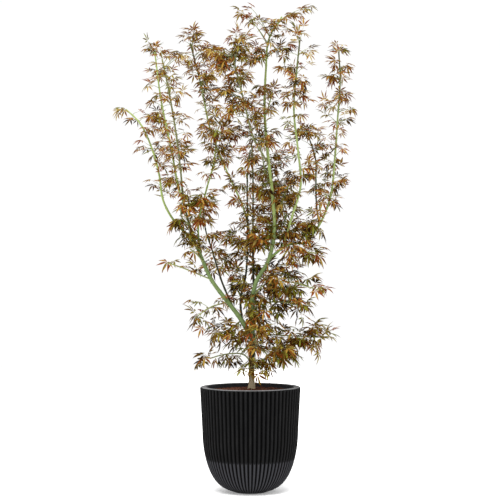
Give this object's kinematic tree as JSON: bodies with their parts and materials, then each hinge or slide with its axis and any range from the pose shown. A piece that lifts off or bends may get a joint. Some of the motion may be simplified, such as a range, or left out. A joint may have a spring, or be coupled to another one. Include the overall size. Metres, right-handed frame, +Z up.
{
  "type": "potted japanese maple",
  "caption": "Young potted japanese maple: upright slender green stems with finely cut rust and olive leaves in loose tiers, standing in a tall black ribbed planter.",
  "frame": {"origin": "centre of the planter's flat underside", "axes": "+Z up along the trunk; the front of the crown faces -Y and its longest cane leans to -X"},
  "size_m": [0.893, 0.6679, 1.7419],
  "materials": {
    "centre_back": "smooth dark bark",
    "centre_front": "smooth green bark",
    "centre_left": "smooth green bark",
    "centre_thin": "smooth dark bark",
    "foliage_back_skirt": "thin matt leaves, rust and olive, on green twigs",
    "foliage_centre_back": "thin matt leaves, rust and olive, on green twigs",
    "foliage_centre_front_low": "thin matt leaves, rust and olive, on green twigs",
    "foliage_centre_front_top": "thin matt leaves, rust and olive, on green twigs",
    "foliage_centre_left_mid": "thin matt leaves, rust and olive, on green twigs",
    "foliage_centre_left_top": "thin matt leaves, rust and olive, on green twigs",
    "foliage_centre_thin_low": "thin matt leaves, rust and olive, on green twigs",
    "foliage_centre_thin_top": "thin matt leaves, rust and olive, on green twigs",
    "foliage_front_knot": "thin matt leaves, rust and olive, on green twigs",
    "foliage_front_skirt": "thin matt leaves, rust and olive, on green twigs",
    "foliage_leader_high": "thin matt leaves, rust and olive, on green twigs",
    "foliage_leader_low_left": "thin matt leaves, rust and olive, on green twigs",
    "foliage_leader_low_right": "thin matt leaves, rust and olive, on green twigs",
    "foliage_leader_mid": "thin matt leaves, rust and olive, on green twigs",
    "foliage_leader_mid_right": "thin matt leaves, rust and olive, on green twigs",
    "foliage_leader_top": "thin matt leaves, rust and olive, on green twigs",
    "foliage_left_back": "thin matt leaves, rust and olive, on green twigs",
    "foliage_left_elbow": "thin matt leaves, rust and olive, on green twigs",
    "foliage_left_heart": "thin matt leaves, rust and olive, on green twigs",
    "foliage_left_inner": "thin matt leaves, rust and olive, on green twigs",
    "foliage_left_low_inner": "thin matt leaves, rust and olive, on green twigs",
    "foliage_left_low_outer": "thin matt leaves, rust and olive, on green twigs",
    "foliage_left_outer": "thin matt leaves, rust and olive, on green twigs",
    "foliage_left_second": "thin matt leaves, rust and olive, on green twigs",
    "foliage_left_skirt": "thin matt leaves, rust and olive, on green twigs",
    "foliage_left_third": "thin matt leaves, rust and olive, on green twigs",
    "foliage_left_wisp": "thin matt leaves, rust and olive, on green twigs",
    "foliage_right_back": "thin matt leaves, rust and olive, on green twigs",
    "foliage_right_cane_foot": "thin matt leaves, rust and olive, on green twigs",
    "foliage_right_heart": "thin matt leaves, rust and olive, on green twigs",
    "foliage_right_inner_low": "thin matt leaves, rust and olive, on green twigs",
    "foliage_right_inner_mid": "thin matt leaves, rust and olive, on green twigs",
    "foliage_right_inner_top": "thin matt leaves, rust and olive, on green twigs",
    "foliage_right_orange": "thin matt leaves, rust and olive, on green twigs",
    "foliage_right_outer_mid": "thin matt leaves, rust and olive, on green twigs",
    "foliage_right_outer_top": "thin matt leaves, rust and olive, on green twigs",
    "foliage_right_shelf_low": "thin matt leaves, rust and olive, on green twigs",
    "foliage_right_shelf_mid": "thin matt leaves, rust and olive, on green twigs",
    "foliage_right_shelf_top": "thin matt leaves, rust and olive, on green twigs",
    "foliage_right_skirt": "thin matt leaves, rust and olive, on green twigs",
    "leader": "smooth green bark",
    "left_back": "smooth dark bark",
    "left_bough": "smooth green bark",
    "left_inner": "smooth green bark",
    "left_outer": "smooth green bark",
    "left_second": "smooth green bark",
    "left_third": "smooth green bark",
    "planter": "matt black, ribbed, worn grey along the rim",
    "right_back": "smooth dark bark",
    "right_bough": "smooth green bark",
    "right_inner": "smooth green bark",
    "right_outer": "smooth green bark",
    "soil": "damp reddish brown granules",
    "trunk": "buff grey bark with dark patches"
  },
  "bodies": {
    "root": {"centre_back": "centre_back", "centre_front": "centre_front", "centre_left": "centre_left", "centre_thin": "centre_thin", "foliage_back_skirt": "foliage_back_skirt", "foliage_centre_back": "foliage_centre_back", "foliage_centre_front_low": "foliage_centre_front_low", "foliage_centre_front_top": "foliage_centre_front_top", "foliage_centre_left_mid": "foliage_centre_left_mid", "foliage_centre_left_top": "foliage_centre_left_top", "foliage_centre_thin_low": "foliage_centre_thin_low", "foliage_centre_thin_top": "foliage_centre_thin_top", "foliage_front_knot": "foliage_front_knot", "foliage_front_skirt": "foliage_front_skirt", "foliage_leader_high": "foliage_leader_high", "foliage_leader_low_left": "foliage_leader_low_left", "foliage_leader_low_right": "foliage_leader_low_right", "foliage_leader_mid": "foliage_leader_mid", "foliage_leader_mid_right": "foliage_leader_mid_right", "foliage_leader_top": "foliage_leader_top", "foliage_left_back": "foliage_left_back", "foliage_left_elbow": "foliage_left_elbow", "foliage_left_heart": "foliage_left_heart", "foliage_left_inner": "foliage_left_inner", "foliage_left_low_inner": "foliage_left_low_inner", "foliage_left_low_outer": "foliage_left_low_outer", "foliage_left_outer": "foliage_left_outer", "foliage_left_second": "foliage_left_second", "foliage_left_skirt": "foliage_left_skirt", "foliage_left_third": "foliage_left_third", "foliage_left_wisp": "foliage_left_wisp", "foliage_right_back": "foliage_right_back", "foliage_right_cane_foot": "foliage_right_cane_foot", "foliage_right_heart": "foliage_right_heart", "foliage_right_inner_low": "foliage_right_inner_low", "foliage_right_inner_mid": "foliage_right_inner_mid", "foliage_right_inner_top": "foliage_right_inner_top", "foliage_right_orange": "foliage_right_orange", "foliage_right_outer_mid": "foliage_right_outer_mid", "foliage_right_outer_top": "foliage_right_outer_top", "foliage_right_shelf_low": "foliage_right_shelf_low", "foliage_right_shelf_mid": "foliage_right_shelf_mid", "foliage_right_shelf_top": "foliage_right_shelf_top", "foliage_right_skirt": "foliage_right_skirt", "leader": "leader", "left_back": "left_back", "left_bough": "left_bough", "left_inner": "left_inner", "left_outer": "left_outer", "left_second": "left_second", "left_third": "left_third", "planter": "planter", "right_back": "right_back", "right_bough": "right_bough", "right_inner": "right_inner", "right_outer": "right_outer", "soil": "soil", "trunk": "trunk"}
  },
  "joints": []
}
